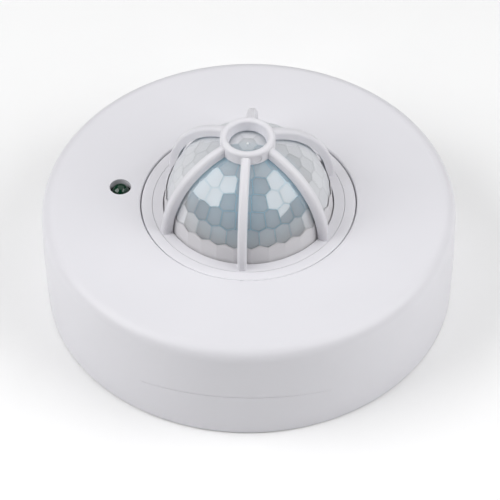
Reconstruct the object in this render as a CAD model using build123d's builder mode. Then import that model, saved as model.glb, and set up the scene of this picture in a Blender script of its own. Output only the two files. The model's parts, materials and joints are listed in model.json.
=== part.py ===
from build123d import *

import os
from math import atan2, degrees, sqrt

# Ceiling motion sensor, in millimetres. The origin is the centre of the mounting face,
# and +Z points out of the ceiling, towards the lens dome.

# ---------------------------------------------------------------- driving dimensions
# Cover: a shallow round shell, a little wider at its front than at the ceiling.
cover_radius = 57.5
cover_height = 32.6
cover_taper = 0.65
cover_bulge = 0.3
cover_wall = 2.2
cover_edge = 3.6
cover_rim_lift = 0.4
knockout_half_width = 26.0
knockout_crown = 15.4
knockout_rise = 2.0
knockout_groove = 0.3
knockout_depth = 0.12

# Clearances: between bodies that turn, pieces that stay put, and shafts that run in holes.
running_gap = 0.4
turret_gap = 0.25
assembly_gap = 0.1
shaft_clearance = 0.06

# Base plate and bayonet.
base_floor = 2.4
base_edge_gap = 0.5
base_chamfer = 0.6
bayonet_count = 3
bayonet_azimuth = 60.0
hook_reach = 4.2
hook_height = 2.2
hook_span = 14.0
hook_lift = 0.9
lug_reach = 2.6
lug_height = 2.0
lug_span = 16.0
stop_span = 2.5
stop_slack = 0.6
ring_wall = 2.0
ring_lip = 0.3
screw_spacing = 70.0
screw_slot_length = 10.0
screw_slot_radius = 2.25
screw_pad_margin = 2.4
screw_pad_height = 0.8
entry_radius = 9.0
grommet_flange = 2.0
grommet_flange_height = 1.0
grommet_face_gap = 0.1
cable_radius = 4.0
blank_distance = 31.0
blank_radius = 8.0
blank_groove = 1.0
blank_skin = 1.2

# Rear tray of the head.
tray_gap = 1.0
tray_thickness = 1.8
tray_edge_gap = 1.0
tray_notch_margin = 1.5
tray_screw_count = 4
tray_screw_azimuth = 45.0
tray_boss_radius = 3.2
tray_boss_inset = 5.2
screw_radius = 1.4
screw_head_radius = 2.7
screw_head_height = 1.5
screw_length = 9.0
wire_window = 5.0
label_width = 28.0
label_depth = 12.0
label_thickness = 0.15
label_distance = 30.0
label_azimuth = -90.0

# Main board and what stands on it.
board_standoff = 4.2
board_thickness = 1.6
board_edge_gap = 1.2
board_screw_count = 3
board_screw_distance = 40.0
standoff_radius = 3.0
parts_ring_gap = 5.5
component_round = 0.6
relay_size = (10.2, 20.5, 10.2)
relay_azimuth = 75.0
film_capacitor_size = (7.5, 18.0, 8.5)
film_capacitor_azimuth = 25.0
electrolytic_radius = 5.0
electrolytic_height = 12.0
electrolytic_azimuth = -35.0
varistor_radius = 5.0
varistor_thickness = 4.0
varistor_azimuth = -60.0
fuse_radius = 4.2
fuse_height = 7.6
fuse_azimuth = -84.0
rectifier_size = (6.4, 8.4, 3.3)
rectifier_azimuth = -105.0
chip_size = (6.4, 19.0, 3.4)
chip_distance = 22.0
chip_azimuth = 180.0
transistor_radius = 2.4
transistor_height = 5.0
transistor_count = 3
transistor_azimuth = 195.0
transistor_arc = 30.0
resistor_size = (1.25, 2.0, 0.5)
resistor_count = 9
resistor_distance = 27.5
resistor_azimuth = 230.0
resistor_arc = 280.0
trimmer_size = 7.0
trimmer_height = 3.6
knob_distance = 27.0
knob_azimuths = {"sensitivity_knob": 40.0, "time_knob": 70.0, "lux_knob": 100.0}
knob_radius = 4.0
knob_height = 2.6
knob_slot_width = 1.0
knob_slot_depth = 0.9
knob_round = 0.5
stem_radius = 1.5
stem_depth = 1.8
tray_gap_to_knob = 0.3

# Terminal block, on the rear of the main board.
terminal_size = (9.0, 16.0, 10.4)
terminal_azimuth = 180.0
terminal_distance = 25.5
terminal_pitch = 5.0
terminal_poles = 3
wire_hole_radius = 1.5
wire_hole_height = 4.2
clamp_size = (6.0, 3.6, 4.2)
clamp_screw_radius = 1.6
clamp_screw_length = 3.4
clamp_slot_width = 0.6
clamp_slot_depth = 0.8

# Status light.
led_radius = 2.5
led_flange = 0.4
led_body_height = 6.5
led_hole_radius = 3.0
led_recess = 0.4
led_offset = 6.15
led_azimuth = 174.6

# Lens dome and the turret that carries it.
lens_radius = 23.45
lens_wall = 0.8
lens_drop = 0.9
lens_flange = 4.0
lens_flange_height = 1.0
lens_opening_gap = 0.55
turret_sink = 0.35
bezel_land = 3.0
bezel_skirt_wall = 1.8
bezel_flange = 2.6
bezel_flange_height = 1.6
bezel_ledge_height = 1.8
bezel_edge = 0.4
clamp_ring_height = 1.0
nib_count = 3
nib_reach = 0.8
nib_height = 0.7
nib_span = 12.0
tab_span = 8.0
tab_reach = 2.0
turret_swing = 30.0
swing_stop_span = 3.0
swing_stop_slack = 1.0
retainer_height = 1.5
retainer_width = 2.8
ear_radius = 2.8
ear_count = 3

# Guard cage over the lens.
guard_gap = 0.35
guard_depth = 2.7
guard_ring_margin = 0.2
guard_ring_height = 1.6
rib_count = 6
rib_azimuth = -90.0
rib_width = 2.5
rib_round = 1.0
collar_outer_radius = 7.6
collar_top_bore = 5.7
collar_bottom_bore = 5.2
collar_rise = 1.0
collar_round = 0.8
gate_radius = 1.3
gate_depth = 0.3
gate_drop = 0.3
gate_azimuth = -65.0
peg_count = 3
peg_radius = 0.8

# Sensor stack inside the lens.
sensor_board_radius = 18.0
sensor_board_drop = 4.7
sensor_board_thickness = 1.6
spacer_radius = 2.5
spacer_distance = 13.5
spacer_count = 3
spacer_azimuth = 30.0
header_size = (2.5, 12.7)
hood_lens_gap = 6.45
hood_wall = 0.8
tower_hood_gap = 1.5
tower_top_inradius = 3.0
tower_height = 9.0
tower_sides = 3
pyro_radius = 4.5
pyro_length = 3.6
light_sensor_radius = 2.5
light_sensor_height = 2.0

# ---------------------------------------------------------------- worked out from them
# Base and bayonet, from the mounting face up.
inner_wall = cover_radius - cover_taper - cover_wall
base_radius = inner_wall - base_edge_gap
ring_outer = inner_wall - hook_reach - running_gap
ring_inner = ring_outer - ring_wall
hook_inner = inner_wall - hook_reach
hook_bottom = base_floor + hook_lift
hook_top = hook_bottom + hook_height
lug_bottom = hook_top + running_gap
lug_top = lug_bottom + lug_height
lug_outer = ring_outer + lug_reach
stop_turn = hook_span / 2 + stop_slack + stop_span / 2
ring_top = lug_top + ring_lip
bayonet_places = [bayonet_azimuth + 360 / bayonet_count * turn for turn in range(bayonet_count)]

# Head: tray, main board and the inside of the cover's front.
tray_bottom = ring_top + tray_gap
tray_top = tray_bottom + tray_thickness
tray_radius = inner_wall - tray_edge_gap
tray_boss_distance = inner_wall - tray_boss_inset
board_bottom = tray_top + board_standoff
board_top = board_bottom + board_thickness
board_radius = tray_boss_distance - tray_boss_radius - board_edge_gap
cover_ceiling = cover_height - cover_wall

# Turret, from its face down.
guard_inner = lens_radius + guard_gap
guard_outer = guard_inner + guard_depth
guard_ring_outer = guard_outer + guard_ring_margin
bezel_recess = guard_ring_outer + assembly_gap
bezel_outer = bezel_recess + bezel_land
bezel_skirt_inner = bezel_outer - bezel_skirt_wall
bezel_flange_outer = bezel_outer + bezel_flange
turret_hole = bezel_outer + turret_gap
turret_face = cover_height - turret_sink
guard_seat = turret_face - guard_ring_height
ledge_bottom = guard_seat - bezel_ledge_height
lens_opening = lens_radius + lens_opening_gap
lens_centre = cover_height - lens_drop
lens_flange_bottom = ledge_bottom - lens_flange_height
clamp_ring_bottom = lens_flange_bottom - clamp_ring_height
bezel_bottom = clamp_ring_bottom - nib_height
flange_top = cover_ceiling - running_gap
flange_bottom = flange_top - bezel_flange_height
retainer_top = flange_bottom - running_gap
retainer_bottom = retainer_top - retainer_height
retainer_outer = turret_hole + retainer_width
led_distance = turret_hole + led_offset
ear_azimuth = led_azimuth + 180 / ear_count
tab_azimuth = ear_azimuth + 180
tab_outer = bezel_flange_outer + tab_reach
swing_stop_turn = turret_swing + (tab_span + swing_stop_span) / 2 + swing_stop_slack
collar_top = lens_centre + guard_outer + collar_rise - collar_outer_radius**2 / guard_outer / 2

# Parts ring: where the tall components stand, outside the turret's retainer.
parts_ring = retainer_outer + parts_ring_gap

# Sensor stack.
sensor_board_top = lens_centre - sensor_board_drop
sensor_board_bottom = sensor_board_top - sensor_board_thickness
hood_radius = lens_radius - hood_lens_gap
hood_foot_inner = sqrt((hood_radius - hood_wall) ** 2 - sensor_board_drop**2)
tower_foot_inradius = (hood_foot_inner - tower_hood_gap) / 2
tower_tilt = degrees(atan2(tower_foot_inradius - tower_top_inradius, tower_height))
tower_top = sensor_board_top + tower_height

STAND = (Align.CENTER, Align.CENTER, Align.MIN)
HANG = (Align.CENTER, Align.CENTER, Align.MAX)


# ---------------------------------------------------------------- shared shapes
def polar_plane(azimuth, distance, height):
    """A plane at a polar place: its x runs outwards, its y round the axis, its z up."""
    return Plane(Location((0, 0, height), (0, 0, azimuth)) * Location((distance, 0, 0)))


def ring(inner, outer, bottom, top, mode=Mode.ADD):
    """A plain ring about the axis, added to the part being built."""
    with BuildSketch(Plane.XY.offset(bottom)) as outline:
        Circle(outer)
        Circle(inner, mode=Mode.SUBTRACT)
    extrude(outline.sketch, amount=top - bottom, mode=mode)


def disc(radius, bottom, top, mode=Mode.ADD):
    """A plain disc about the axis."""
    with BuildSketch(Plane.XY.offset(bottom)) as outline:
        Circle(radius)
    extrude(outline.sketch, amount=top - bottom, mode=mode)


def ring_part(inner, outer, bottom, top, azimuth, span, mode=Mode.ADD):
    """A stretch of a ring, span degrees long, with its middle at an azimuth."""
    upright = Location((0, 0, 0), (0, 0, azimuth - span / 2)) * Location((0, 0, 0), (90, 0, 0))
    with BuildSketch(Plane(upright)) as outline:
        with Locations(((inner + outer) / 2, (bottom + top) / 2)):
            Rectangle(outer - inner, top - bottom)
    revolve(outline.sketch.faces(), axis=Axis.Z, revolution_arc=span, mode=mode)


def round_posts(radius, distance, count, azimuth, bottom, top, mode=Mode.ADD):
    """Equal round posts, or holes, on a circle about the axis."""
    with BuildSketch(Plane.XY.offset(bottom)) as outline:
        with PolarLocations(distance, count, start_angle=azimuth):
            Circle(radius)
    extrude(outline.sketch, amount=top - bottom, mode=mode)


def wall_radius(height):
    """The cover's outer radius at a height: a straight taper with a slight bulge."""
    share = height / cover_height
    return cover_radius - cover_taper * (1 - share) + 4 * cover_bulge * share * (1 - share)


def collar_foot(distance):
    """The height of the guard's inner face over the lens, at a distance from the axis."""
    return lens_centre + sqrt(guard_inner**2 - distance**2)


# ---------------------------------------------------------------- base
with BuildPart() as base_plate:
    disc(base_radius, 0, base_floor)
    ring(ring_inner, ring_outer, base_floor, ring_top)
    for place in bayonet_places:
        ring_part(ring_outer - ring_wall / 2, lug_outer, lug_bottom, lug_top, place, lug_span)
        ring_part(ring_outer - ring_wall / 2, lug_outer, base_floor, lug_top, place - stop_turn, stop_span)
    with BuildSketch(Plane.XY.offset(base_floor)):
        with GridLocations(screw_spacing, 0, 2, 1):
            SlotOverall(screw_slot_length + 2 * screw_pad_margin, 2 * (screw_slot_radius + screw_pad_margin))
    extrude(amount=screw_pad_height)
    with BuildSketch(Plane.XY):
        with GridLocations(screw_spacing, 0, 2, 1):
            SlotOverall(screw_slot_length, 2 * screw_slot_radius)
    extrude(amount=base_floor + screw_pad_height, mode=Mode.SUBTRACT)
    disc(entry_radius, 0, base_floor, mode=Mode.SUBTRACT)
    grommet_seat = grommet_flange_height + grommet_face_gap
    disc(entry_radius + grommet_flange + assembly_gap, 0, grommet_seat, mode=Mode.SUBTRACT)
    with BuildSketch(Plane.XY):
        with GridLocations(0, 2 * blank_distance, 1, 2):
            Circle(blank_radius)
            Circle(blank_radius - blank_groove, mode=Mode.SUBTRACT)
    extrude(amount=base_floor - blank_skin, mode=Mode.SUBTRACT)
    base_rim = base_plate.edges().filter_by(GeomType.CIRCLE).group_by(Axis.Z)[0].sort_by(SortBy.RADIUS)[-1]
    chamfer(base_rim, base_chamfer)

with BuildPart() as cable_grommet:
    disc(entry_radius + grommet_flange, grommet_face_gap, grommet_seat)
    disc(entry_radius - assembly_gap, grommet_seat, base_floor)
    disc(entry_radius + grommet_flange, base_floor, base_floor + grommet_flange_height)
    disc(cable_radius, grommet_face_gap, base_floor + grommet_flange_height, mode=Mode.SUBTRACT)

# ---------------------------------------------------------------- head: cover shell
# The arch that outlines the cable knock-out in the side wall.
with BuildPart() as knockout_line:
    with BuildSketch(Plane.XZ.offset(cover_radius - cover_edge)):
        with BuildLine():
            ThreePointArc(
                (-knockout_half_width, knockout_crown - knockout_rise),
                (0, knockout_crown),
                (knockout_half_width, knockout_crown - knockout_rise),
            )
        trace(line_width=knockout_groove)
    extrude(amount=2 * cover_edge, both=True)
    groove_floor = wall_radius(knockout_crown) - knockout_depth
    ring(groove_floor, 2 * cover_radius, 0, cover_height, mode=Mode.INTERSECT)

with BuildPart() as cover_shell:
    with BuildSketch(Plane.XZ):
        with BuildLine():
            Polyline(
                (cover_radius, cover_height),
                (turret_hole, cover_height),
                (turret_hole, cover_ceiling),
                (cover_radius - cover_wall, cover_ceiling),
            )
            ThreePointArc(
                (cover_radius - cover_wall, cover_ceiling),
                (wall_radius(cover_ceiling / 2) - cover_wall, cover_ceiling / 2),
                (inner_wall, cover_rim_lift),
            )
            Line((inner_wall, cover_rim_lift), (inner_wall + cover_wall, cover_rim_lift))
            ThreePointArc(
                (inner_wall + cover_wall, cover_rim_lift),
                (wall_radius(cover_height / 2), cover_height / 2),
                (cover_radius, cover_height),
            )
        cover_profile = make_face()
        fillet(cover_profile.vertices().sort_by_distance((cover_radius, cover_height))[0], cover_edge)
        inner_corner = (cover_radius - cover_wall, cover_ceiling)
        fillet(cover_profile.vertices().sort_by_distance(inner_corner)[0], cover_edge - cover_wall)
    revolve(axis=Axis.Z)
    front_circles = cover_shell.edges().filter_by(GeomType.CIRCLE).group_by(Axis.Z)[-1]
    fillet(front_circles.sort_by(SortBy.RADIUS)[0], bezel_edge)
    add(knockout_line.part, mode=Mode.SUBTRACT)
    for place in bayonet_places:
        ring_part(hook_inner, inner_wall + cover_wall / 2, hook_bottom, hook_top, place, hook_span)
    round_posts(
        tray_boss_radius, tray_boss_distance, tray_screw_count, tray_screw_azimuth, tray_top, cover_ceiling
    )
    round_posts(
        screw_radius + assembly_gap / 2,
        tray_boss_distance,
        tray_screw_count,
        tray_screw_azimuth,
        tray_top,
        tray_bottom + screw_length + assembly_gap,
        mode=Mode.SUBTRACT,
    )
    round_posts(ear_radius, led_distance, ear_count, ear_azimuth, retainer_top, cover_ceiling)
    round_posts(
        screw_radius / 2 + assembly_gap / 2,
        led_distance,
        ear_count,
        ear_azimuth,
        retainer_top,
        cover_ceiling,
        mode=Mode.SUBTRACT,
    )
    for side in (-1, 1):
        ring_part(
            bezel_flange_outer + running_gap,
            tab_outer,
            flange_bottom,
            cover_ceiling,
            tab_azimuth + side * swing_stop_turn,
            swing_stop_span,
        )
    with BuildSketch(polar_plane(led_azimuth, led_distance, cover_ceiling)):
        Circle(led_hole_radius)
    extrude(amount=cover_wall, mode=Mode.SUBTRACT)

# ---------------------------------------------------------------- head: rear tray
with BuildPart() as rear_tray:
    disc(tray_radius, tray_bottom, tray_top)
    for place in bayonet_places:
        ring_part(
            hook_inner - running_gap,
            tray_radius + tray_edge_gap,
            tray_bottom,
            tray_top,
            place,
            hook_span + 2 * tray_notch_margin,
            mode=Mode.SUBTRACT,
        )
    round_posts(
        standoff_radius, board_screw_distance, board_screw_count, 0, tray_top, board_bottom
    )
    round_posts(
        screw_radius + assembly_gap / 2,
        board_screw_distance,
        board_screw_count,
        0,
        tray_bottom + tray_thickness / 2,
        board_bottom,
        mode=Mode.SUBTRACT,
    )
    with Locations(Plane.XY.offset(tray_bottom).rotated((180, 0, 0))):
        with PolarLocations(tray_boss_distance, tray_screw_count, start_angle=tray_screw_azimuth):
            CounterSinkHole(
                radius=screw_radius + assembly_gap,
                counter_sink_radius=screw_head_radius + assembly_gap,
                depth=tray_thickness,
            )
    for azimuth in knob_azimuths.values():
        with BuildSketch(polar_plane(azimuth, knob_distance, tray_bottom)):
            Circle(stem_radius + tray_gap_to_knob)
        extrude(amount=tray_thickness, mode=Mode.SUBTRACT)
    window_depth = terminal_size[0] + 2 * running_gap + wire_window
    with BuildSketch(polar_plane(terminal_azimuth, terminal_distance - wire_window / 2, tray_bottom)):
        Rectangle(window_depth, terminal_size[1] + 2 * running_gap)
    extrude(amount=tray_thickness, mode=Mode.SUBTRACT)

with BuildPart() as tray_screws:
    with Locations(Plane.XY.offset(tray_bottom)):
        with PolarLocations(tray_boss_distance, tray_screw_count, start_angle=tray_screw_azimuth):
            Cone(screw_head_radius, screw_radius, screw_head_radius - screw_radius, align=STAND)
            Cylinder(screw_radius, screw_length, align=STAND)

with BuildPart(polar_plane(label_azimuth, label_distance, tray_bottom)) as rating_label:
    Box(label_depth, label_width, label_thickness, align=HANG)

# ---------------------------------------------------------------- head: turret retainer
with BuildPart() as turret_retainer:
    ring(turret_hole, retainer_outer, retainer_bottom, retainer_top)
    round_posts(ear_radius, led_distance, ear_count, ear_azimuth, retainer_bottom, retainer_top)
    for turn in range(ear_count):
        ear_root = polar_plane(ear_azimuth + 360 / ear_count * turn, (turret_hole + led_distance) / 2, 0)
        with BuildSketch(ear_root.offset(retainer_bottom)):
            Rectangle(led_distance - turret_hole - running_gap, 2 * ear_radius)
        extrude(amount=retainer_height)
    round_posts(
        screw_radius / 2 + assembly_gap,
        led_distance,
        ear_count,
        ear_azimuth,
        retainer_bottom,
        retainer_top,
        mode=Mode.SUBTRACT,
    )

with BuildPart() as retainer_screws:
    retainer_head_foot = retainer_bottom - screw_head_height
    round_posts(screw_radius, led_distance, ear_count, ear_azimuth, retainer_head_foot, retainer_bottom)
    round_posts(
        screw_radius / 2, led_distance, ear_count, ear_azimuth, retainer_bottom, cover_ceiling - assembly_gap
    )

# ---------------------------------------------------------------- head: main board
with BuildPart() as main_board:
    disc(board_radius, board_bottom, board_top)
    round_posts(
        screw_radius + assembly_gap,
        board_screw_distance,
        board_screw_count,
        0,
        board_bottom,
        board_top,
        mode=Mode.SUBTRACT,
    )

with BuildPart() as board_screws:
    board_head_top = board_top + screw_head_height
    round_posts(screw_head_radius, board_screw_distance, board_screw_count, 0, board_top, board_head_top)
    shank_bottom = board_bottom - board_standoff
    round_posts(screw_radius, board_screw_distance, board_screw_count, 0, shank_bottom, board_top)

with BuildPart(polar_plane(relay_azimuth, parts_ring, board_top)) as relay:
    Box(*relay_size, align=STAND)
    fillet(relay.edges().filter_by(Axis.Z), component_round)

with BuildPart(polar_plane(film_capacitor_azimuth, parts_ring, board_top)) as film_capacitor:
    Box(*film_capacitor_size, align=STAND)
    fillet(film_capacitor.edges().filter_by(Axis.Z), component_round)

with BuildPart(polar_plane(electrolytic_azimuth, parts_ring, board_top)) as electrolytic_capacitor:
    Cylinder(electrolytic_radius, electrolytic_height, align=STAND)
    fillet(electrolytic_capacitor.edges().group_by(Axis.Z)[-1], component_round)

with BuildPart(polar_plane(varistor_azimuth, parts_ring, board_top + varistor_radius)) as varistor:
    Cylinder(varistor_radius, varistor_thickness, rotation=(0, 90, 0))

with BuildPart(polar_plane(fuse_azimuth, parts_ring, board_top)) as fuse:
    Cylinder(fuse_radius, fuse_height, align=STAND)

with BuildPart(polar_plane(rectifier_azimuth, parts_ring, board_top)) as bridge_rectifier:
    Box(*rectifier_size, align=STAND)

with BuildPart(polar_plane(chip_azimuth, chip_distance, board_top)) as control_chip:
    Box(*chip_size, align=STAND)

with BuildPart() as transistors:
    with BuildSketch(Plane.XY.offset(board_top)):
        with PolarLocations(parts_ring, transistor_count, transistor_azimuth, transistor_arc):
            Circle(transistor_radius)
    extrude(amount=transistor_height)

with BuildPart() as chip_resistors:
    with BuildSketch(Plane.XY.offset(board_top)):
        with PolarLocations(resistor_distance, resistor_count, resistor_azimuth, resistor_arc):
            Rectangle(*resistor_size[:2])
    extrude(amount=resistor_size[2])

# ---------------------------------------------------------------- head: terminals
wire_level = board_bottom - wire_hole_height
terminal_floor = board_bottom - terminal_size[2]

with BuildPart(polar_plane(terminal_azimuth, terminal_distance, board_bottom)) as terminal_block:
    Box(*terminal_size, align=HANG)
    with Locations((0, 0, -wire_hole_height)):
        with GridLocations(0, terminal_pitch, 1, terminal_poles):
            Box(*(size + 2 * assembly_gap for size in clamp_size), mode=Mode.SUBTRACT)
            Cylinder(
                wire_hole_radius,
                terminal_size[0] / 2,
                rotation=(0, -90, 0),
                align=STAND,
                mode=Mode.SUBTRACT,
            )
    with Locations((0, 0, -terminal_size[2])):
        with GridLocations(0, terminal_pitch, 1, terminal_poles):
            Cylinder(
                clamp_screw_radius + assembly_gap,
                terminal_size[2] - wire_hole_height,
                align=STAND,
                mode=Mode.SUBTRACT,
            )

with BuildPart(polar_plane(terminal_azimuth, terminal_distance, wire_level)) as terminal_clamps:
    with GridLocations(0, terminal_pitch, 1, terminal_poles):
        Box(*clamp_size)
        Cylinder(wire_hole_radius, clamp_size[0], rotation=(0, 90, 0), mode=Mode.SUBTRACT)

with BuildPart(polar_plane(terminal_azimuth, terminal_distance, terminal_floor)) as terminal_screws:
    with Locations((0, 0, terminal_size[2] - wire_hole_height - clamp_size[2] / 2 - assembly_gap)):
        with GridLocations(0, terminal_pitch, 1, terminal_poles):
            Cylinder(clamp_screw_radius, clamp_screw_length, align=HANG)
            with Locations((0, 0, -clamp_screw_length)):
                clamp_slot = (2 * clamp_screw_radius, clamp_slot_width, clamp_slot_depth)
                Box(*clamp_slot, align=STAND, mode=Mode.SUBTRACT)

# ---------------------------------------------------------------- head: trimmers, knobs
with BuildPart() as trimmers:
    for azimuth in knob_azimuths.values():
        with BuildSketch(polar_plane(azimuth, knob_distance, board_bottom - trimmer_height)):
            Rectangle(trimmer_size, trimmer_size)
            Circle(stem_radius + shaft_clearance, mode=Mode.SUBTRACT)
        extrude(amount=trimmer_height)


def adjusting_knob(azimuth):
    """A slotted knob under the tray, with its stem up in the trimmer."""
    knob_top = tray_bottom - tray_gap_to_knob
    with BuildPart(polar_plane(azimuth, knob_distance, knob_top)) as knob:
        Cylinder(knob_radius, knob_height, align=HANG)
        fillet(knob.edges().group_by(Axis.Z)[0], knob_round)
        with Locations((0, 0, -knob_height)):
            Box(2 * knob_radius, knob_slot_width, knob_slot_depth, align=STAND, mode=Mode.SUBTRACT)
        stem_length = board_bottom - trimmer_height + stem_depth - knob_top
        Cylinder(stem_radius, stem_length, align=STAND)
    return knob


knobs = {name: adjusting_knob(azimuth) for name, azimuth in knob_azimuths.items()}

# ---------------------------------------------------------------- head: status light
led_foot = cover_height - led_recess - led_body_height - led_radius
with BuildPart(polar_plane(led_azimuth, led_distance, led_foot)) as status_led:
    Cylinder(led_radius, led_body_height, align=STAND)
    Cylinder(led_radius + led_flange, 2 * led_flange, align=STAND)
    with Locations((0, 0, led_body_height)):
        Sphere(led_radius)

with BuildPart(polar_plane(led_azimuth, led_distance, board_top)) as led_spacer:
    Cylinder(led_radius + led_flange, led_foot - board_top, align=STAND)

# ---------------------------------------------------------------- head: sensor stack
with BuildPart() as board_spacers:
    round_posts(spacer_radius, spacer_distance, spacer_count, spacer_azimuth, board_top, sensor_board_bottom)

with BuildPart(polar_plane(0, 0, board_top)) as board_header:
    Box(*header_size, sensor_board_bottom - board_top, align=STAND)

with BuildPart() as sensor_board:
    disc(sensor_board_radius, sensor_board_bottom, sensor_board_top)

with BuildPart() as sensor_tower:
    with BuildSketch(Plane.XY.offset(sensor_board_top)):
        RegularPolygon(tower_foot_inradius, tower_sides, major_radius=False, rotation=rib_azimuth + 180)
    with BuildSketch(Plane.XY.offset(tower_top)):
        RegularPolygon(tower_top_inradius, tower_sides, major_radius=False, rotation=rib_azimuth + 180)
    loft()

# Each sensor can stands square on the middle of a sloping face of the tower.
face_distance = (tower_foot_inradius + tower_top_inradius) / 2
face_height = sensor_board_top + tower_height / 2
with BuildPart() as pyro_sensors:
    for turn in range(tower_sides):
        face_place = Location((0, 0, face_height), (0, 0, rib_azimuth + 360 / tower_sides * turn))
        face_normal = Location((face_distance, 0, 0), (0, 90 - tower_tilt, 0))
        with Locations(face_place * face_normal):
            Cylinder(pyro_radius, pyro_length, align=STAND)

with BuildPart(Plane.XY.offset(tower_top)) as light_sensor:
    Cylinder(light_sensor_radius, light_sensor_height, align=STAND)

# The tinted hood keeps stray light off the sensors. It is round the same centre as the lens.
with BuildPart() as sensor_hood:
    with Locations((0, 0, lens_centre)):
        Sphere(hood_radius)
        Sphere(hood_radius - hood_wall, mode=Mode.SUBTRACT)
    disc(hood_radius, sensor_board_top, lens_centre + hood_radius, mode=Mode.INTERSECT)

# ---------------------------------------------------------------- turret
peg_distance = (guard_inner + guard_ring_outer) / 2
peg_azimuth = rib_azimuth + 180 / rib_count

with BuildPart() as bezel_ring:
    ring(bezel_skirt_inner, bezel_outer, bezel_bottom, ledge_bottom)
    ring(lens_opening, bezel_outer, ledge_bottom, guard_seat)
    ring(bezel_recess, bezel_outer, guard_seat, turret_face)
    face_circles = bezel_ring.edges().filter_by(GeomType.CIRCLE).group_by(Axis.Z)[-1]
    fillet(face_circles.sort_by(SortBy.RADIUS)[-1], bezel_edge)
    ring(bezel_skirt_inner, bezel_flange_outer, flange_bottom, min(flange_top, guard_seat))
    ring_part(bezel_outer, tab_outer, flange_bottom, min(flange_top, guard_seat), tab_azimuth, tab_span)
    for turn in range(nib_count):
        ring_part(
            bezel_skirt_inner - nib_reach,
            bezel_outer - bezel_skirt_wall / 2,
            bezel_bottom,
            clamp_ring_bottom,
            360 / nib_count * turn,
            nib_span,
        )
    round_posts(
        peg_radius + assembly_gap,
        peg_distance,
        peg_count,
        peg_azimuth,
        ledge_bottom,
        guard_seat,
        mode=Mode.SUBTRACT,
    )

lens_flange_radius = lens_radius + lens_flange
with BuildPart() as fresnel_lens:
    ring(lens_radius - lens_wall, lens_radius, lens_flange_bottom, lens_centre)
    ring(lens_radius - lens_wall, lens_flange_radius, lens_flange_bottom, ledge_bottom)
    with BuildSketch(Plane.XZ):
        with BuildLine():
            CenterArc((0, lens_centre), lens_radius, 0, 90)
            CenterArc((0, lens_centre), lens_radius - lens_wall, 0, 90)
            Line((lens_radius - lens_wall, lens_centre), (lens_radius, lens_centre))
            Line((0, lens_centre + lens_radius - lens_wall), (0, lens_centre + lens_radius))
        make_face()
    revolve(axis=Axis.Z)

with BuildPart() as lens_clamp_ring:
    ring(lens_radius - lens_wall, bezel_skirt_inner - assembly_gap, clamp_ring_bottom, lens_flange_bottom)

# ---------------------------------------------------------------- turret: guard cage
# One rib: a bar bent round the lens, from the guard ring up to the collar.
rib_reach = (collar_top_bore + collar_outer_radius) / 2
with BuildPart() as guard_rib:
    with BuildSketch(Plane.XZ):
        with BuildLine():
            CenterArc((0, lens_centre), guard_outer, 0, 90)
            CenterArc((0, lens_centre), guard_inner, 0, 90)
            Line((guard_inner, lens_centre), (guard_outer, lens_centre))
            Line((0, lens_centre + guard_inner), (0, lens_centre + guard_outer))
        make_face()
        with Locations((rib_reach / 2, lens_centre + guard_outer)):
            Rectangle(rib_reach, guard_outer, mode=Mode.SUBTRACT)
    extrude(amount=rib_width / 2, both=True)
    fillet(guard_rib.edges().filter_by(GeomType.CIRCLE).sort_by(SortBy.RADIUS)[-2:], rib_round)

with BuildPart() as guard_collar:
    with BuildSketch(Plane.XZ):
        with BuildLine():
            RadiusArc(
                (collar_bottom_bore, collar_foot(collar_bottom_bore)),
                (collar_outer_radius, collar_foot(collar_outer_radius)),
                guard_inner,
            )
            Polyline(
                (collar_outer_radius, collar_foot(collar_outer_radius)),
                (collar_outer_radius, collar_top),
                (collar_top_bore, collar_top),
                (collar_bottom_bore, collar_foot(collar_bottom_bore)),
            )
        collar_profile = make_face()
        fillet(collar_profile.vertices().group_by(Axis.Y)[-1], collar_round)
    revolve(axis=Axis.Z)

with BuildPart() as guard_cage:
    ring(guard_inner, guard_ring_outer, guard_seat, turret_face)
    with PolarLocations(0, rib_count, start_angle=rib_azimuth):
        add(guard_rib.part)
    add(guard_collar.part)
    round_posts(peg_radius, peg_distance, peg_count, peg_azimuth, ledge_bottom, guard_seat)
    gate_height = (collar_top + collar_foot(collar_outer_radius)) / 2 - gate_drop
    gate_place = Location((0, 0, gate_height), (0, 0, gate_azimuth))
    with Locations(gate_place * Location((collar_outer_radius - gate_depth, 0, 0), (0, 90, 0))):
        Cylinder(gate_radius, 2 * gate_depth, align=STAND, mode=Mode.SUBTRACT)

# ---------------------------------------------------------------- files
pieces = {
    "base_plate": base_plate,
    "cable_grommet": cable_grommet,
    "cover_shell": cover_shell,
    "rear_tray": rear_tray,
    "tray_screws": tray_screws,
    "rating_label": rating_label,
    "turret_retainer": turret_retainer,
    "retainer_screws": retainer_screws,
    "main_board": main_board,
    "board_screws": board_screws,
    "relay": relay,
    "film_capacitor": film_capacitor,
    "electrolytic_capacitor": electrolytic_capacitor,
    "varistor": varistor,
    "fuse": fuse,
    "bridge_rectifier": bridge_rectifier,
    "control_chip": control_chip,
    "transistors": transistors,
    "chip_resistors": chip_resistors,
    "terminal_block": terminal_block,
    "terminal_clamps": terminal_clamps,
    "terminal_screws": terminal_screws,
    "trimmers": trimmers,
    "status_led": status_led,
    "led_spacer": led_spacer,
    "board_spacers": board_spacers,
    "board_header": board_header,
    "sensor_board": sensor_board,
    "sensor_tower": sensor_tower,
    "pyro_sensors": pyro_sensors,
    "light_sensor": light_sensor,
    "sensor_hood": sensor_hood,
    "bezel_ring": bezel_ring,
    "guard_cage": guard_cage,
    "fresnel_lens": fresnel_lens,
    "lens_clamp_ring": lens_clamp_ring,
    **knobs,
}

os.makedirs("parts", exist_ok=True)
for name, piece in pieces.items():
    piece.part.label = name
    export_step(piece.part, f"parts/{name}.step")
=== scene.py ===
import json
from math import cos, radians, sin

import bpy
from mathutils import Matrix, Vector


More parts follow.
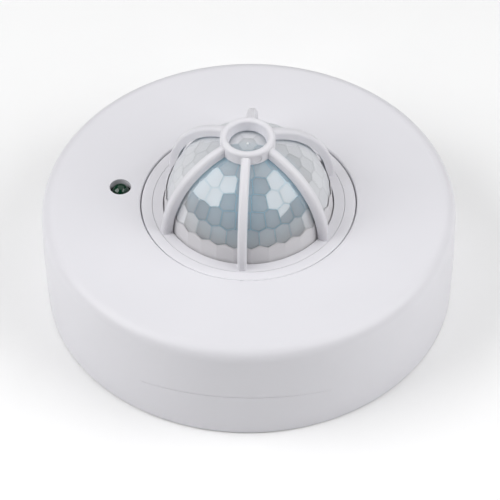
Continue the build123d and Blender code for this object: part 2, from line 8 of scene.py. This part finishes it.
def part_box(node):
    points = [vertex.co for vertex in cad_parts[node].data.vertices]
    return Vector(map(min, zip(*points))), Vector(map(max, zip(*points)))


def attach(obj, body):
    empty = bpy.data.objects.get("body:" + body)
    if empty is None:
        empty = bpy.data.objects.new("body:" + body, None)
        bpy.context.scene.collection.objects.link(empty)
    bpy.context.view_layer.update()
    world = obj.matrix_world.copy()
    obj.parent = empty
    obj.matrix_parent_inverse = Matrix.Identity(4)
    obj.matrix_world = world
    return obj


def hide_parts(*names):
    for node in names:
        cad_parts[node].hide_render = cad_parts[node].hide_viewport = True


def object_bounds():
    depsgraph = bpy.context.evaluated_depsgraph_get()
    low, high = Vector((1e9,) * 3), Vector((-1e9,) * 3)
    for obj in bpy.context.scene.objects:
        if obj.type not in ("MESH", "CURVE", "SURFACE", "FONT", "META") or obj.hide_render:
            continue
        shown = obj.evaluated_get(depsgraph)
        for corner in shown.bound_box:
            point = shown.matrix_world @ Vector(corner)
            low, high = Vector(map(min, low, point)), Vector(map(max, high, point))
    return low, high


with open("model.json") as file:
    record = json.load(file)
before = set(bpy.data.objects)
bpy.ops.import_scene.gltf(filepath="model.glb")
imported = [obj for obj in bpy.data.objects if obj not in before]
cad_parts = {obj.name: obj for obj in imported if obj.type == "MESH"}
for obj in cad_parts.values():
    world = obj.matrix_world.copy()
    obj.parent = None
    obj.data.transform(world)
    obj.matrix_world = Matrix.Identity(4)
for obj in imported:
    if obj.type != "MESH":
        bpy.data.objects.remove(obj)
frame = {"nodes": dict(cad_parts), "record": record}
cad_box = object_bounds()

nodes = frame["nodes"]
MM = 0.001


# ---------------------------------------------------------------- shader maths
class Value:
    """A shader socket that can be used in Python expressions. Each operator adds a Math node."""

    def __init__(self, finish, socket):
        self.finish = finish
        self.socket = socket

    def maths(self, operation, first, second):
        return self.finish.node("ShaderNodeMath", {"operation": operation}, {0: first, 1: second})

    def __add__(self, other):
        return self.maths("ADD", self, other)

    def __radd__(self, other):
        return self.maths("ADD", other, self)

    def __sub__(self, other):
        return self.maths("SUBTRACT", self, other)

    def __rsub__(self, other):
        return self.maths("SUBTRACT", other, self)

    def __mul__(self, other):
        return self.maths("MULTIPLY", self, other)

    def __rmul__(self, other):
        return self.maths("MULTIPLY", other, self)

    def between(self, low, high):
        """0 below low and 1 above high, smooth in between."""
        settings = {"interpolation_type": "SMOOTHSTEP"}
        inputs = {"Value": self, "From Min": low, "From Max": high}
        return self.finish.node("ShaderNodeMapRange", settings, inputs)


class Finish:
    """A procedural material round one Principled shader. Constants go straight on its sockets."""

    def __init__(self, name, **constants):
        self.material = bpy.data.materials.new(name)
        self.material.use_nodes = True
        self.tree = self.material.node_tree
        self.shader = self.tree.nodes["Principled BSDF"]
        for socket, value in constants.items():
            self.shader.inputs[socket.replace("_", " ")].default_value = value

    def node(self, kind, settings=None, inputs=None, output=0):
        """Adds a node: its settings first, then the values or links of its sockets."""
        made = self.tree.nodes.new(kind)
        for key, value in (settings or {}).items():
            setattr(made, key, value)
        for key, value in (inputs or {}).items():
            if isinstance(value, Value):
                self.tree.links.new(value.socket, made.inputs[key])
            else:
                made.inputs[key].default_value = value
        return Value(self, made.outputs[output])

    def noise(self, scale, detail=2.0, roughness=0.5, distortion=0.0):
        """Noise over the piece, its scale in repeats a metre."""
        inputs = {
            "Vector": self.node("ShaderNodeTexCoord", output="Object"),
            "Scale": scale,
            "Detail": detail,
            "Roughness": roughness,
            "Distortion": distortion,
        }
        return self.node("ShaderNodeTexNoise", inputs=inputs)

    def blend(self, factor, first, second):
        """A colour between two colours."""
        inputs = {"Factor": factor, 6: first, 7: second}
        return self.node("ShaderNodeMix", {"data_type": "RGBA"}, inputs, output=2)

    def bump(self, height, strength, distance):
        inputs = {"Height": height, "Strength": strength, "Distance": distance}
        return self.node("ShaderNodeBump", inputs=inputs)

    def feed(self, **links):
        for socket, value in links.items():
            self.tree.links.new(value.socket, self.shader.inputs[socket.replace("_", " ")])


def shade(red, green, blue):
    return (red, green, blue, 1.0)


def moulded_plastic(name, colour, tint, roughness=0.42, grain=0.03, coat=0.0):
    """Injection-moulded plastic: faint clouding in colour and gloss, and a fine spark-eroded grain."""
    finish = Finish(name, Coat_Weight=coat, Coat_Roughness=0.05)
    clouds = finish.noise(scale=38.0, detail=3.0).between(0.3, 0.7)
    finish.feed(Base_Color=finish.blend(clouds, shade(*colour), shade(*tint)))
    gloss_spread = 0.08
    finish.feed(Roughness=roughness + gloss_spread * (finish.noise(scale=260.0, detail=4.0) - 0.5))
    texture = finish.noise(scale=5200.0, detail=2.0, roughness=0.6)
    finish.feed(Normal=finish.bump(texture, grain, 0.08 * MM))
    return finish.material


def plain_metal(name, colour, dulled, roughness=0.28):
    """Plated or turned metal, a little dulled in patches, with fine drawn lines."""
    finish = Finish(name, Metallic=1.0)
    patches = finish.noise(scale=300.0, detail=3.0).between(0.35, 0.65)
    finish.feed(Base_Color=finish.blend(patches, shade(*colour), shade(*dulled)))
    gloss_spread = 0.2
    finish.feed(Roughness=roughness + gloss_spread * (finish.noise(scale=900.0, detail=4.0) - 0.5))
    drawn_lines = finish.noise(scale=7000.0, detail=2.0, distortion=1.5)
    finish.feed(Normal=finish.bump(drawn_lines, 0.05, 0.05 * MM))
    return finish.material


# ---------------------------------------------------------------- finishes
WHITE = (0.735, 0.728, 0.765)
WHITE_TINT = (0.722, 0.716, 0.752)
LIGHT_GREEN = (0.002, 0.026, 0.012)
LIGHT_GREEN_TINT = (0.002, 0.032, 0.014)
finishes = {
    "white_plastic": moulded_plastic("satin white plastic", WHITE, WHITE_TINT),
    "grey_plastic": moulded_plastic("light grey plastic", (0.56, 0.56, 0.57), (0.52, 0.52, 0.53)),
    "black_plastic": moulded_plastic("black plastic", (0.016, 0.016, 0.017), (0.022, 0.022, 0.023)),
    "teal_plastic": moulded_plastic("teal plastic", (0.27, 0.46, 0.56), (0.28, 0.47, 0.57), 0.6),
    "green_plastic": moulded_plastic("terminal green plastic", (0.03, 0.19, 0.07), (0.02, 0.16, 0.06), 0.3),
    "rubber": moulded_plastic("grommet rubber", (0.018, 0.018, 0.018), (0.026, 0.026, 0.026), 0.75),
    "led_green": moulded_plastic(
        "tinted green epoxy", LIGHT_GREEN, LIGHT_GREEN_TINT, roughness=0.12, grain=0.0, coat=0.2
    ),
    "board": moulded_plastic("green board", (0.01, 0.09, 0.03), (0.015, 0.11, 0.04), 0.3),
    "steel": plain_metal("plated steel", (0.62, 0.62, 0.63), (0.52, 0.52, 0.53)),
    "brass": plain_metal("plain brass", (0.78, 0.58, 0.26), (0.62, 0.45, 0.2)),
    "can_metal": plain_metal("nickel can", (0.66, 0.64, 0.6), (0.56, 0.54, 0.51), 0.22),
    "relay_case": moulded_plastic("blue relay case", (0.02, 0.06, 0.26), (0.03, 0.07, 0.28), 0.3),
    "film_case": moulded_plastic("yellow case", (0.5, 0.3, 0.02), (0.52, 0.33, 0.03), 0.3),
    "ceramic": moulded_plastic("blue epoxy", (0.03, 0.09, 0.3), (0.03, 0.1, 0.33), 0.3),
    "paper": moulded_plastic("blank label", (0.6, 0.6, 0.62), (0.62, 0.62, 0.63), 0.5),
    "sensor_window": moulded_plastic("dark window", (0.03, 0.012, 0.015), (0.03, 0.015, 0.016), 0.1),
    "lens_plastic": moulded_plastic("milky lens", (0.6, 0.65, 0.68), (0.6, 0.66, 0.7), 0.3),
}

slots = {part["node"]: part["material_slot"] for part in frame["record"]["subparts"]}
for name, node in nodes.items():
    node.data.materials.clear()
    node.data.materials.append(finishes[slots[name]])


# ---------------------------------------------------------------- shaping
def direction(azimuth, rise):
    """The unit vector at an azimuth and a rise in degrees."""
    flat = cos(radians(rise))
    return Vector((cos(radians(azimuth)) * flat, sin(radians(azimuth)) * flat, sin(radians(rise))))


def start_piece(name, primitive, **sizes):
    """Adds a primitive on its own and leaves it in edit mode, with nothing selected."""
    bpy.ops.object.select_all(action="DESELECT")
    primitive(**sizes)
    piece = bpy.context.active_object
    piece.name = name
    bpy.ops.object.transform_apply(location=True, rotation=True, scale=True)
    bpy.ops.object.mode_set(mode="EDIT")
    bpy.ops.mesh.select_all(action="DESELECT")
    return piece


def start_copy(name, node):
    """Copies a CAD part, merges its loose triangles, and leaves the copy in edit mode."""
    piece = bpy.data.objects.new(name, nodes[node].data.copy())
    bpy.context.scene.collection.objects.link(piece)
    bpy.ops.object.select_all(action="DESELECT")
    bpy.context.view_layer.objects.active = piece
    piece.select_set(True)
    bpy.ops.object.mode_set(mode="EDIT")
    bpy.ops.mesh.select_all(action="SELECT")
    bpy.ops.mesh.remove_doubles(threshold=0.001 * MM)
    return piece


def choose(piece, kind, test):
    """Selects only the faces, edges or vertices that pass a test, in edit mode."""
    bpy.ops.mesh.select_mode(type=kind)
    bpy.ops.mesh.select_all(action="DESELECT")
    bpy.ops.object.mode_set(mode="OBJECT")
    parts = {"FACE": piece.data.polygons, "EDGE": piece.data.edges, "VERT": piece.data.vertices}[kind]
    for part in parts:
        part.select = bool(test(part))
    bpy.ops.object.mode_set(mode="EDIT")


def cut(point, normal, fill=True):
    """Cuts off what is beyond a plane."""
    bpy.ops.mesh.select_all(action="SELECT")
    bpy.ops.mesh.bisect(plane_co=point, plane_no=normal, use_fill=fill, clear_outer=True, threshold=1e-7)


def smooth_up_to(angle):
    """Shades the active piece smooth, but for the edges that bend by more than an angle in degrees."""
    bpy.ops.object.shade_smooth_by_angle(angle=radians(angle))


def hand_over(piece, body, slot, *replaced):
    """Gives a finished piece its body, and hides the CAD nodes that it stands for. The slot is not used."""
    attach(piece, body)
    if replaced:
        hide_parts(*replaced)


# ---------------------------------------------------------------- lens
# A dome of flat hexagonal cells over a facetted skirt.
# A plane square to each cell's direction cuts that cell.
LENS_RADIUS = 23.45 * MM
LENS_CENTRE = Vector((0, 0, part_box("fresnel_lens")[1].z - LENS_RADIUS))
LENS_WALL = 0.3 * MM
CELL_REACH = 23.28 * MM
CELL_RISES = (90.0, 78.4, 67.2, 56.3, 45.0, 33.2, 20.6)
CELLS_A_STEP = 6
MOST_CELLS = 30
FRONT = -90.0
SKIRT_RISE = 6.7
SKIRT_REACH = 23.22 * MM
FOOT_REACH = 23.38 * MM
SEAM_WIDTH = 0.08 * MM
SEAM_DEPTH = 0.02 * MM
SHORTEST_EDGE = 0.3 * MM
CELL_SWELL = 0.045 * MM
SKIRT_FOOT_RADIUS = 23.74 * MM
SKIRT_FOOT_RISE = 0.6 * MM
FLARE_DROP = 0.3 * MM
FOOT_DROP = 1.9 * MM
CELL_MIDDLE_ANGLE = radians(2.0)
LOWEST_CELL_NORMAL = 0.15
LOWEST_CELL_HEIGHT = 0.2
CELL_FACES, SKIRT_FACES = 0, 2


def cell_directions():
    """The way that each cell faces: one at the top, then rings of 6, 12, 18 and so on."""
    facing = []
    for row, rise in enumerate(CELL_RISES):
        wanted = CELLS_A_STEP * row
        count = min(wanted, MOST_CELLS) or 1
        half_step = 180.0 / count if wanted > MOST_CELLS else 0.0
        facing += [direction(FRONT + half_step + 360.0 * step / count, rise) for step in range(count)]
    return facing


def skirt_directions(rise):
    return [direction(FRONT + 360.0 * step / MOST_CELLS, rise) for step in range(MOST_CELLS)]


def on_foot(place):
    return abs(place.z - LENS_CENTRE.z + SKIRT_FOOT_RISE) < 0.01 * MM


def lens_dome():
    dome = start_piece(
        "fresnel_dome",
        bpy.ops.mesh.primitive_uv_sphere_add,
        segments=24,
        ring_count=12,
        radius=1.3 * LENS_RADIUS,
        location=LENS_CENTRE,
    )
    for facing in cell_directions():
        cut(LENS_CENTRE + CELL_REACH * facing, facing)
    for facing in skirt_directions(SKIRT_RISE):
        cut(LENS_CENTRE + SKIRT_REACH * facing, facing)
    for facing in skirt_directions(0.0):
        cut(LENS_CENTRE + FOOT_REACH * facing, facing)
    cut(LENS_CENTRE - Vector((0, 0, SKIRT_FOOT_RISE)), (0, 0, -1), fill=False)
    bpy.ops.mesh.select_all(action="SELECT")
    bpy.ops.mesh.remove_doubles(threshold=SHORTEST_EDGE)
    bpy.ops.mesh.normals_make_consistent(inside=False)
    # The seams: each cell stands a little proud of a groove, and swells towards its middle.
    lowest_cell = sin(radians((CELL_RISES[-1] + SKIRT_RISE) / 2))
    choose(dome, "FACE", lambda face: face.normal.z > lowest_cell)
    bpy.ops.mesh.inset(thickness=SEAM_WIDTH, depth=SEAM_DEPTH, use_individual=True)
    bpy.ops.mesh.poke(offset=CELL_SWELL)
    choose(dome, "FACE", lambda face: face.normal.z <= lowest_cell)
    bpy.ops.mesh.inset(thickness=SEAM_WIDTH / 2, depth=SEAM_DEPTH / 2, use_individual=True)
    # The foot flares out to fill the guard ring, then goes straight down to the ledge.
    choose(dome, "EDGE", lambda edge: all(on_foot(dome.data.vertices[end].co) for end in edge.vertices))
    flare = SKIRT_FOOT_RADIUS / FOOT_REACH
    bpy.ops.mesh.extrude_region_move(TRANSFORM_OT_translate={"value": (0, 0, -FLARE_DROP)})
    bpy.ops.transform.resize(value=(flare, flare, 1), center_override=LENS_CENTRE)
    bpy.ops.mesh.extrude_region_move(TRANSFORM_OT_translate={"value": (0, 0, -FOOT_DROP)})
    bpy.ops.object.mode_set(mode="OBJECT")
    return dome


def mark_middles(dome):
    """Writes the attribute cell_middle: 1 at the middle of each cell and 0 along its borders."""
    facing_ways = cell_directions() + skirt_directions(SKIRT_RISE)
    middles = dome.data.attributes.new("cell_middle", "FLOAT", "POINT")
    for number, vertex in enumerate(dome.data.vertices):
        outwards = (vertex.co - LENS_CENTRE).normalized()
        off_middle = min(outwards.angle(facing) for facing in facing_ways)
        middles.data[number].value = float(off_middle < CELL_MIDDLE_ANGLE)


def milky_plastic(name, seam, middle, side, reach):
    """Thin milky polyethylene. More shows through it straight on than at a slant, and most along the seams.

    Seam, middle and side are opacities. Reach is where the slant begins and ends to count.
    """
    finish = Finish(name, Roughness=0.6, Base_Color=shade(0.80, 0.81, 0.84))
    slant = finish.node("ShaderNodeLayerWeight", inputs={"Blend": 0.5}, output="Facing").between(*reach)
    inwards = finish.node("ShaderNodeAttribute", {"attribute_name": "cell_middle"}, output="Fac")
    thickening = 0.75 * inwards.between(-0.05, 0.16) + 0.25 * inwards
    straight_on = seam + (middle - seam) * thickening
    seam_loss = 0.1
    at_a_slant = side - seam_loss + seam_loss * inwards.between(-0.1, 0.2)
    opacity = straight_on * (1.0 - slant) + at_a_slant * slant
    clear = finish.node("ShaderNodeBsdfTransparent", inputs={"Color": shade(0.95, 0.98, 1.0)})
    milk = Value(finish, finish.shader.outputs[0])
    mixed = finish.node("ShaderNodeMixShader", inputs={0: opacity, 1: clear, 2: milk})
    finish.tree.links.new(mixed.socket, finish.tree.nodes["Material Output"].inputs["Surface"])
    return finish.material


def lens_gloss(name, share):
    """The polished outside of the lens, which only mirrors a share of the light."""
    finish = Finish(name, Alpha=share, Metallic=1.0, Roughness=0.03, Base_Color=shade(1.0, 1.0, 1.0))
    return finish.material


lens = lens_dome()
mark_middles(lens)
# The outside is the gloss. The wall's inside takes the next material, which is the milk.
lens.data.materials.append(lens_gloss("polished lens face", 0.085))
lens.data.materials.append(milky_plastic("milky lens", 0.24, 0.39, 0.86, (0.20, 0.42)))
lens.data.materials.append(
    moulded_plastic("frosted lens skirt", (0.70, 0.69, 0.71), (0.68, 0.67, 0.69), 0.5)
)
for face in lens.data.polygons:
    height = (face.center - LENS_CENTRE).normalized().z
    is_cell = face.normal.z > LOWEST_CELL_NORMAL and height > LOWEST_CELL_HEIGHT
    face.material_index = CELL_FACES if is_cell else SKIRT_FACES
wall = lens.modifiers.new("Solidify", "SOLIDIFY")
wall.thickness = LENS_WALL
wall.offset = -1.0
wall.use_rim = True
wall.material_offset = 1
wall.material_offset_rim = 1
bpy.context.view_layer.objects.active = lens
bpy.ops.object.modifier_apply(modifier=wall.name)
smooth_up_to(8)
hand_over(lens, "turret", "lens_plastic", "fresnel_lens")

# The gate mark: a bead left at the top of the dome. Its opaque near-white colour is partly painted
# highlight, a bright dot that stands in for the glint on the gate mark.
BEAD_RADIUS = 0.35 * MM
dome_top = LENS_CENTRE + Vector((0, 0, CELL_REACH))
gate_mark = start_piece(
    "lens_gate_mark",
    bpy.ops.mesh.primitive_uv_sphere_add,
    segments=24,
    ring_count=12,
    radius=BEAD_RADIUS,
    location=dome_top,
)
cut(dome_top - Vector((0, 0, LENS_WALL / 2)), (0, 0, -1))
bpy.ops.object.mode_set(mode="OBJECT")
smooth_up_to(50)
# painted highlight: the bead is near white and opaque, so it shows as a bright dot whatever the light
gate_mark.data.materials.append(
    moulded_plastic("near-white bead, painted highlight", (0.86, 0.87, 0.88), (0.84, 0.85, 0.86), 0.12)
)
hand_over(gate_mark, "turret", "lens_plastic")

# ---------------------------------------------------------------- status light
# The CAD light with a longer body, so that its dome just fills the mouth of its hole.
LIGHT_LIFT = 0.75 * MM
DOME_AND_BODY = 4.0 * MM
status_light = start_copy("status_light", "status_led")
body_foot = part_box("status_led")[1].z - DOME_AND_BODY
choose(status_light, "VERT", lambda vertex: vertex.co.z > body_foot)
bpy.ops.transform.translate(value=(0, 0, LIGHT_LIFT))
bpy.ops.object.mode_set(mode="OBJECT")
smooth_up_to(35)
hand_over(status_light, "head", "led_green", "status_led")

# ---------------------------------------------------------------- camera
CAMERA_TURN = 4.6
CAMERA_RISE = 45.586
CAMERA_ROLL = -0.809
CAMERA_DISTANCE = 1.0
cover_face = Vector((0, 0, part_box("cover_shell")[1].z))
camera_data = bpy.data.cameras.new("camera")
camera_data.sensor_width = 36.0
camera_data.lens = 259.49
camera_data.shift_x = 0.00298
camera_data.shift_y = -0.0978
camera_data.clip_end = 20.0
camera = bpy.data.objects.new("camera", camera_data)
bpy.context.scene.collection.objects.link(camera)
bpy.context.scene.camera = camera
back = direction(FRONT + CAMERA_TURN, CAMERA_RISE)
stand = Matrix.Translation(cover_face + CAMERA_DISTANCE * back)
gaze = (-back).to_track_quat("-Z", "Y").to_matrix().to_4x4()
camera.matrix_world = stand @ gaze @ Matrix.Rotation(radians(CAMERA_ROLL), 4, "Z")


# ---------------------------------------------------------------- light
def softbox(name, azimuth, rise, distance, width, power):
    """A square area light that faces the object, from an azimuth and a rise in degrees."""
    data = bpy.data.lights.new(name, "AREA")
    data.shape = "SQUARE"
    data.size = width
    data.energy = power
    lamp = bpy.data.objects.new(name, data)
    away = direction(azimuth, rise)
    lamp.location = away * distance
    lamp.rotation_mode = "QUATERNION"
    lamp.rotation_quaternion = (-away).to_track_quat("-Z", "Y")
    bpy.context.scene.collection.objects.link(lamp)


softbox("left_softbox", -162.5, 42.0, 0.75, 0.62, 4.3)
softbox("right_softbox", -13.4, 41.0, 0.75, 0.62, 3.9)
softbox("top_softbox", 90.0, 68.0, 1.3, 1.7, 6.9)

world = bpy.data.worlds.new("studio")
bpy.context.scene.world = world
world.use_nodes = True
world.node_tree.nodes["Background"].inputs["Color"].default_value = shade(0.96, 0.97, 1.0)
world.node_tree.nodes["Background"].inputs["Strength"].default_value = 0.02
bpy.context.scene.view_settings.view_transform = "Standard"

# ---------------------------------------------------------------- floor
FLOOR_WIDTH = 6.0
bpy.ops.object.select_all(action="DESELECT")
bpy.ops.mesh.primitive_plane_add(size=FLOOR_WIDTH, location=(0, 0, cad_box[0].z))
floor = bpy.context.active_object
floor.name = "floor"
floor.data.materials.append(
    moulded_plastic("pale floor", (0.95, 0.95, 0.95), (0.94, 0.94, 0.94), roughness=0.6, grain=0.0)
)
